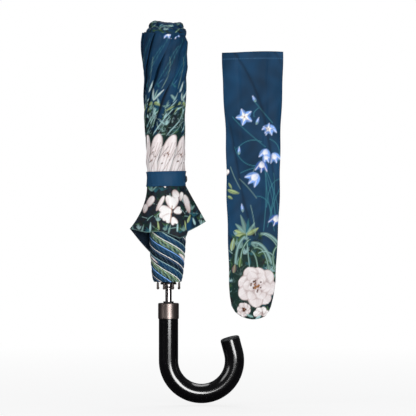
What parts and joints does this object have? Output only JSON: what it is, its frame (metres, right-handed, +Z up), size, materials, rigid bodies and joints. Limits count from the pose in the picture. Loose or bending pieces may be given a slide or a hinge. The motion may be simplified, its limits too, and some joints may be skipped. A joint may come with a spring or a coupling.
{
  "type": "folding umbrella",
  "caption": "Three-fold rain umbrella, rolled and strapped, with a crook handle, telescopic shaft, folding ribs and a matching cloth sleeve.",
  "frame": {"origin": "on the shaft's axis, at the middle of the crook handle's straight grip", "axes": "+Z up the shaft from the handle to the crown, +X from the shaft towards the crook's free end and the sleeve, +Y to the back"},
  "size_m": [0.1525, 0.0448, 0.3807],
  "materials": {
    "handle_black": "gloss lacquer",
    "collar_nickel": "brushed black nickel",
    "shaft_steel": "chromed",
    "rib_metal": "black coated",
    "fitting_plastic": "moulded",
    "canopy_cloth": "printed pongee",
    "strap_cloth": "plain pongee",
    "sleeve_cloth": "printed pongee"
  },
  "bodies": {
    "handle": {"crook_handle": "handle_black", "handle_end_cap": "handle_black", "handle_collar": "collar_nickel", "shaft_washer": "fitting_plastic", "shaft_inner_tube": "shaft_steel", "handle_lock_pin": "shaft_steel"},
    "middle_tube": {"shaft_middle_tube": "shaft_steel"},
    "outer_tube": {"shaft_outer_tube": "shaft_steel", "outer_tube_mouth_ring": "fitting_plastic", "crown_notch": "fitting_plastic", "crown_wire": "shaft_steel", "top_cap": "fitting_plastic", "canopy": "canopy_cloth", "strap_band": "strap_cloth"},
    "runner": {"runner": "fitting_plastic", "runner_wire": "shaft_steel"},
    "runner_catch": {"runner_catch": "fitting_plastic"},
    "strap_tab": {"strap_tab": "strap_cloth", "strap_snap_cap": "shaft_steel"},
    "sleeve": {"sleeve_front_panel": "sleeve_cloth", "sleeve_back_panel": "sleeve_cloth", "sleeve_side_seam": "sleeve_cloth"},
    "inner_rib_1": {"inner_rib_1": "rib_metal"},
    "stretcher_1": {"stretcher_1": "rib_metal"},
    "middle_rib_1": {"middle_rib_1": "rib_metal"},
    "outer_rib_1": {"outer_rib_1": "rib_metal"},
    "top_panels_a": {"canopy_top_panels_a": "canopy_cloth"},
    "mid_panels_a": {"canopy_mid_panels_a": "canopy_cloth"},
    "edge_panels_a": {"canopy_edge_panels_a": "canopy_cloth"},
    "inner_rib_2": {"inner_rib_2": "rib_metal"},
    "stretcher_2": {"stretcher_2": "rib_metal"},
    "middle_rib_2": {"middle_rib_2": "rib_metal"},
    "outer_rib_2": {"outer_rib_2": "rib_metal"},
    "inner_rib_3": {"inner_rib_3": "rib_metal"},
    "stretcher_3": {"stretcher_3": "rib_metal"},
    "middle_rib_3": {"middle_rib_3": "rib_metal"},
    "outer_rib_3": {"outer_rib_3": "rib_metal"},
    "inner_rib_4": {"inner_rib_4": "rib_metal"},
    "stretcher_4": {"stretcher_4": "rib_metal"},
    "middle_rib_4": {"middle_rib_4": "rib_metal"},
    "outer_rib_4": {"outer_rib_4": "rib_metal"},
    "inner_rib_5": {"inner_rib_5": "rib_metal"},
    "stretcher_5": {"stretcher_5": "rib_metal"},
    "middle_rib_5": {"middle_rib_5": "rib_metal"},
    "outer_rib_5": {"outer_rib_5": "rib_metal"},
    "top_panels_b": {"canopy_top_panels_b": "canopy_cloth"},
    "mid_panels_b": {"canopy_mid_panels_b": "canopy_cloth"},
    "edge_panels_b": {"canopy_edge_panels_b": "canopy_cloth"},
    "inner_rib_6": {"inner_rib_6": "rib_metal"},
    "stretcher_6": {"stretcher_6": "rib_metal"},
    "middle_rib_6": {"middle_rib_6": "rib_metal"},
    "outer_rib_6": {"outer_rib_6": "rib_metal"},
    "inner_rib_7": {"inner_rib_7": "rib_metal"},
    "stretcher_7": {"stretcher_7": "rib_metal"},
    "middle_rib_7": {"middle_rib_7": "rib_metal"},
    "outer_rib_7": {"outer_rib_7": "rib_metal"},
    "inner_rib_8": {"inner_rib_8": "rib_metal"},
    "stretcher_8": {"stretcher_8": "rib_metal"},
    "middle_rib_8": {"middle_rib_8": "rib_metal"},
    "outer_rib_8": {"outer_rib_8": "rib_metal"}
  },
  "joints": [
    {"name": "middle_tube_slide", "type": "slide", "parent": "handle", "child": "middle_tube", "axis": [0, 0, 1], "range_m": [0, 0.17]},
    {"name": "outer_tube_slide", "type": "slide", "parent": "middle_tube", "child": "outer_tube", "axis": [0, 0, 1], "range_m": [0, 0.17]},
    {"name": "runner_slide", "type": "slide", "parent": "outer_tube", "child": "runner", "axis": [0, 0, 1], "range_m": [0, 0.13898], "deforming": ["canopy", "strap_band", "strap_tab", "strap_snap_cap", "runner_catch", "canopy_top_panels_a", "canopy_top_panels_b", "canopy_mid_panels_a", "canopy_mid_panels_b", "canopy_edge_panels_a", "canopy_edge_panels_b"]},
    {"name": "runner_catch_press", "type": "hinge", "parent": "runner", "child": "runner_catch", "pos_m": [0.0064, 0, 0.061], "axis": [0, -1, 0], "range_deg": [0, 9], "stiffness_Nm_per_rad": 0.02},
    {"name": "strap_tab_hinge", "type": "hinge", "parent": "outer_tube", "child": "strap_tab", "pos_m": [0.00468, 0.01759, 0.16], "axis": [0, 0, 1], "range_deg": [0, 100]},
    {"name": "sleeve_lift", "type": "slide", "parent": "handle", "child": "sleeve", "axis": [0, 0, 1], "range_m": [0, 0.31]},
    {"name": "inner_rib_1_hinge", "type": "hinge", "parent": "outer_tube", "child": "inner_rib_1", "pos_m": [0.00831, 0.00344, 0.29], "axis": [0.3827, -0.9239, 0], "range_deg": [0, 82.3]},
    {"name": "stretcher_1_hinge", "type": "hinge", "parent": "runner", "child": "stretcher_1", "pos_m": [0.00628, 0.0026, 0.07], "axis": [-0.3827, 0.9239, 0], "range_deg": [0, 57.55]},
    {"name": "middle_rib_1_hinge", "type": "hinge", "parent": "inner_rib_1", "child": "middle_rib_1", "pos_m": [0.00961, 0.00398, 0.15], "axis": [-0.3827, 0.9239, 0], "range_deg": [0, 192.3]},
    {"name": "outer_rib_1_hinge", "type": "hinge", "parent": "middle_rib_1", "child": "outer_rib_1", "pos_m": [0.0122, 0.00505, 0.311], "axis": [0.3827, -0.9239, 0], "range_deg": [0, 165.3]},
    {"name": "top_panels_a_spread", "type": "hinge", "parent": "inner_rib_1", "child": "top_panels_a", "pos_m": [0.00716, 0.00296, 0.29891], "axis": [0.9149, 0.379, 0.1392], "range_deg": [0, 180.1]},
    {"name": "mid_panels_a_spread", "type": "hinge", "parent": "middle_rib_1", "child": "mid_panels_a", "pos_m": [0.04061, 0.01682, 0.00489], "axis": [-0.8682, -0.3596, -0.342], "range_deg": [0, 180.1]},
    {"name": "edge_panels_a_spread", "type": "hinge", "parent": "outer_rib_1", "child": "edge_panels_a", "pos_m": [-0.08845, -0.03664, 0.59872], "axis": [0.7568, 0.3135, 0.5736], "range_deg": [0, 180.1]},
    {"name": "inner_rib_2_hinge", "type": "hinge", "parent": "outer_tube", "child": "inner_rib_2", "pos_m": [0.00344, 0.00831, 0.29], "axis": [0.9239, -0.3827, 0], "range_deg": [0, 82.3]},
    {"name": "stretcher_2_hinge", "type": "hinge", "parent": "runner", "child": "stretcher_2", "pos_m": [0.0026, 0.00628, 0.07], "axis": [-0.9239, 0.3827, 0], "range_deg": [0, 57.55]},
    {"name": "middle_rib_2_hinge", "type": "hinge", "parent": "inner_rib_2", "child": "middle_rib_2", "pos_m": [0.00398, 0.00961, 0.15], "axis": [-0.9239, 0.3827, 0], "range_deg": [0, 192.3]},
    {"name": "outer_rib_2_hinge", "type": "hinge", "parent": "middle_rib_2", "child": "outer_rib_2", "pos_m": [0.00505, 0.0122, 0.311], "axis": [0.9239, -0.3827, 0], "range_deg": [0, 165.3]},
    {"name": "inner_rib_3_hinge", "type": "hinge", "parent": "outer_tube", "child": "inner_rib_3", "pos_m": [-0.00344, 0.00831, 0.29], "axis": [0.9239, 0.3827, 0], "range_deg": [0, 82.3]},
    {"name": "stretcher_3_hinge", "type": "hinge", "parent": "runner", "child": "stretcher_3", "pos_m": [-0.0026, 0.00628, 0.07], "axis": [-0.9239, -0.3827, 0], "range_deg": [0, 57.55]},
    {"name": "middle_rib_3_hinge", "type": "hinge", "parent": "inner_rib_3", "child": "middle_rib_3", "pos_m": [-0.00398, 0.00961, 0.15], "axis": [-0.9239, -0.3827, 0], "range_deg": [0, 192.3]},
    {"name": "outer_rib_3_hinge", "type": "hinge", "parent": "middle_rib_3", "child": "outer_rib_3", "pos_m": [-0.00505, 0.0122, 0.311], "axis": [0.9239, 0.3827, 0], "range_deg": [0, 165.3]},
    {"name": "inner_rib_4_hinge", "type": "hinge", "parent": "outer_tube", "child": "inner_rib_4", "pos_m": [-0.00831, 0.00344, 0.29], "axis": [0.3827, 0.9239, 0], "range_deg": [0, 82.3]},
    {"name": "stretcher_4_hinge", "type": "hinge", "parent": "runner", "child": "stretcher_4", "pos_m": [-0.00628, 0.0026, 0.07], "axis": [-0.3827, -0.9239, 0], "range_deg": [0, 57.55]},
    {"name": "middle_rib_4_hinge", "type": "hinge", "parent": "inner_rib_4", "child": "middle_rib_4", "pos_m": [-0.00961, 0.00398, 0.15], "axis": [-0.3827, -0.9239, 0], "range_deg": [0, 192.3]},
    {"name": "outer_rib_4_hinge", "type": "hinge", "parent": "middle_rib_4", "child": "outer_rib_4", "pos_m": [-0.0122, 0.00505, 0.311], "axis": [0.3827, 0.9239, 0], "range_deg": [0, 165.3]},
    {"name": "inner_rib_5_hinge", "type": "hinge", "parent": "outer_tube", "child": "inner_rib_5", "pos_m": [-0.00831, -0.00344, 0.29], "axis": [-0.3827, 0.9239, 0], "range_deg": [0, 82.3]},
    {"name": "stretcher_5_hinge", "type": "hinge", "parent": "runner", "child": "stretcher_5", "pos_m": [-0.00628, -0.0026, 0.07], "axis": [0.3827, -0.9239, 0], "range_deg": [0, 57.55]},
    {"name": "middle_rib_5_hinge", "type": "hinge", "parent": "inner_rib_5", "child": "middle_rib_5", "pos_m": [-0.00961, -0.00398, 0.15], "axis": [0.3827, -0.9239, 0], "range_deg": [0, 192.3]},
    {"name": "outer_rib_5_hinge", "type": "hinge", "parent": "middle_rib_5", "child": "outer_rib_5", "pos_m": [-0.0122, -0.00505, 0.311], "axis": [-0.3827, 0.9239, 0], "range_deg": [0, 165.3]},
    {"name": "top_panels_b_spread", "type": "hinge", "parent": "inner_rib_5", "child": "top_panels_b", "pos_m": [-0.00716, -0.00296, 0.29891], "axis": [-0.9149, -0.379, 0.1392], "range_deg": [0, 180.1]},
    {"name": "mid_panels_b_spread", "type": "hinge", "parent": "middle_rib_5", "child": "mid_panels_b", "pos_m": [-0.04061, -0.01682, 0.00489], "axis": [0.8682, 0.3596, -0.342], "range_deg": [0, 180.1]},
    {"name": "edge_panels_b_spread", "type": "hinge", "parent": "outer_rib_5", "child": "edge_panels_b", "pos_m": [0.08845, 0.03664, 0.59872], "axis": [-0.7568, -0.3135, 0.5736], "range_deg": [0, 180.1]},
    {"name": "inner_rib_6_hinge", "type": "hinge", "parent": "outer_tube", "child": "inner_rib_6", "pos_m": [-0.00344, -0.00831, 0.29], "axis": [-0.9239, 0.3827, 0], "range_deg": [0, 82.3]},
    {"name": "stretcher_6_hinge", "type": "hinge", "parent": "runner", "child": "stretcher_6", "pos_m": [-0.0026, -0.00628, 0.07], "axis": [0.9239, -0.3827, 0], "range_deg": [0, 57.55]},
    {"name": "middle_rib_6_hinge", "type": "hinge", "parent": "inner_rib_6", "child": "middle_rib_6", "pos_m": [-0.00398, -0.00961, 0.15], "axis": [0.9239, -0.3827, 0], "range_deg": [0, 192.3]},
    {"name": "outer_rib_6_hinge", "type": "hinge", "parent": "middle_rib_6", "child": "outer_rib_6", "pos_m": [-0.00505, -0.0122, 0.311], "axis": [-0.9239, 0.3827, 0], "range_deg": [0, 165.3]},
    {"name": "inner_rib_7_hinge", "type": "hinge", "parent": "outer_tube", "child": "inner_rib_7", "pos_m": [0.00344, -0.00831, 0.29], "axis": [-0.9239, -0.3827, 0], "range_deg": [0, 82.3]},
    {"name": "stretcher_7_hinge", "type": "hinge", "parent": "runner", "child": "stretcher_7", "pos_m": [0.0026, -0.00628, 0.07], "axis": [0.9239, 0.3827, 0], "range_deg": [0, 57.55]},
    {"name": "middle_rib_7_hinge", "type": "hinge", "parent": "inner_rib_7", "child": "middle_rib_7", "pos_m": [0.00398, -0.00961, 0.15], "axis": [0.9239, 0.3827, 0], "range_deg": [0, 192.3]},
    {"name": "outer_rib_7_hinge", "type": "hinge", "parent": "middle_rib_7", "child": "outer_rib_7", "pos_m": [0.00505, -0.0122, 0.311], "axis": [-0.9239, -0.3827, 0], "range_deg": [0, 165.3]},
    {"name": "inner_rib_8_hinge", "type": "hinge", "parent": "outer_tube", "child": "inner_rib_8", "pos_m": [0.00831, -0.00344, 0.29], "axis": [-0.3827, -0.9239, 0], "range_deg": [0, 82.3]},
    {"name": "stretcher_8_hinge", "type": "hinge", "parent": "runner", "child": "stretcher_8", "pos_m": [0.00628, -0.0026, 0.07], "axis": [0.3827, 0.9239, 0], "range_deg": [0, 57.55]},
    {"name": "middle_rib_8_hinge", "type": "hinge", "parent": "inner_rib_8", "child": "middle_rib_8", "pos_m": [0.00961, -0.00398, 0.15], "axis": [0.3827, 0.9239, 0], "range_deg": [0, 192.3]},
    {"name": "outer_rib_8_hinge", "type": "hinge", "parent": "middle_rib_8", "child": "outer_rib_8", "pos_m": [0.0122, -0.00505, 0.311], "axis": [-0.3827, -0.9239, 0], "range_deg": [0, 165.3]}
  ],
  "couplings": [
    {"joint": "inner_rib_1_hinge", "follows": "runner_slide", "rad_per_m": 10.298},
    {"joint": "stretcher_1_hinge", "follows": "runner_slide", "rad_per_m": 7.189},
    {"joint": "middle_rib_1_hinge", "follows": "runner_slide", "rad_per_m": 24.111},
    {"joint": "outer_rib_1_hinge", "follows": "runner_slide", "rad_per_m": 20.721},
    {"joint": "top_panels_a_spread", "follows": "runner_slide", "rad_per_m": 22.579},
    {"joint": "mid_panels_a_spread", "follows": "runner_slide", "rad_per_m": 22.579},
    {"joint": "edge_panels_a_spread", "follows": "runner_slide", "rad_per_m": 22.579},
    {"joint": "inner_rib_2_hinge", "follows": "runner_slide", "rad_per_m": 10.298},
    {"joint": "stretcher_2_hinge", "follows": "runner_slide", "rad_per_m": 7.189},
    {"joint": "middle_rib_2_hinge", "follows": "runner_slide", "rad_per_m": 24.111},
    {"joint": "outer_rib_2_hinge", "follows": "runner_slide", "rad_per_m": 20.721},
    {"joint": "inner_rib_3_hinge", "follows": "runner_slide", "rad_per_m": 10.298},
    {"joint": "stretcher_3_hinge", "follows": "runner_slide", "rad_per_m": 7.189},
    {"joint": "middle_rib_3_hinge", "follows": "runner_slide", "rad_per_m": 24.111},
    {"joint": "outer_rib_3_hinge", "follows": "runner_slide", "rad_per_m": 20.721},
    {"joint": "inner_rib_4_hinge", "follows": "runner_slide", "rad_per_m": 10.298},
    {"joint": "stretcher_4_hinge", "follows": "runner_slide", "rad_per_m": 7.189},
    {"joint": "middle_rib_4_hinge", "follows": "runner_slide", "rad_per_m": 24.111},
    {"joint": "outer_rib_4_hinge", "follows": "runner_slide", "rad_per_m": 20.721},
    {"joint": "inner_rib_5_hinge", "follows": "runner_slide", "rad_per_m": 10.298},
    {"joint": "stretcher_5_hinge", "follows": "runner_slide", "rad_per_m": 7.189},
    {"joint": "middle_rib_5_hinge", "follows": "runner_slide", "rad_per_m": 24.111},
    {"joint": "outer_rib_5_hinge", "follows": "runner_slide", "rad_per_m": 20.721},
    {"joint": "top_panels_b_spread", "follows": "runner_slide", "rad_per_m": 22.579},
    {"joint": "mid_panels_b_spread", "follows": "runner_slide", "rad_per_m": 22.579},
    {"joint": "edge_panels_b_spread", "follows": "runner_slide", "rad_per_m": 22.579},
    {"joint": "inner_rib_6_hinge", "follows": "runner_slide", "rad_per_m": 10.298},
    {"joint": "stretcher_6_hinge", "follows": "runner_slide", "rad_per_m": 7.189},
    {"joint": "middle_rib_6_hinge", "follows": "runner_slide", "rad_per_m": 24.111},
    {"joint": "outer_rib_6_hinge", "follows": "runner_slide", "rad_per_m": 20.721},
    {"joint": "inner_rib_7_hinge", "follows": "runner_slide", "rad_per_m": 10.298},
    {"joint": "stretcher_7_hinge", "follows": "runner_slide", "rad_per_m": 7.189},
    {"joint": "middle_rib_7_hinge", "follows": "runner_slide", "rad_per_m": 24.111},
    {"joint": "outer_rib_7_hinge", "follows": "runner_slide", "rad_per_m": 20.721},
    {"joint": "inner_rib_8_hinge", "follows": "runner_slide", "rad_per_m": 10.298},
    {"joint": "stretcher_8_hinge", "follows": "runner_slide", "rad_per_m": 7.189},
    {"joint": "middle_rib_8_hinge", "follows": "runner_slide", "rad_per_m": 24.111},
    {"joint": "outer_rib_8_hinge", "follows": "runner_slide", "rad_per_m": 20.721}
  ]
}
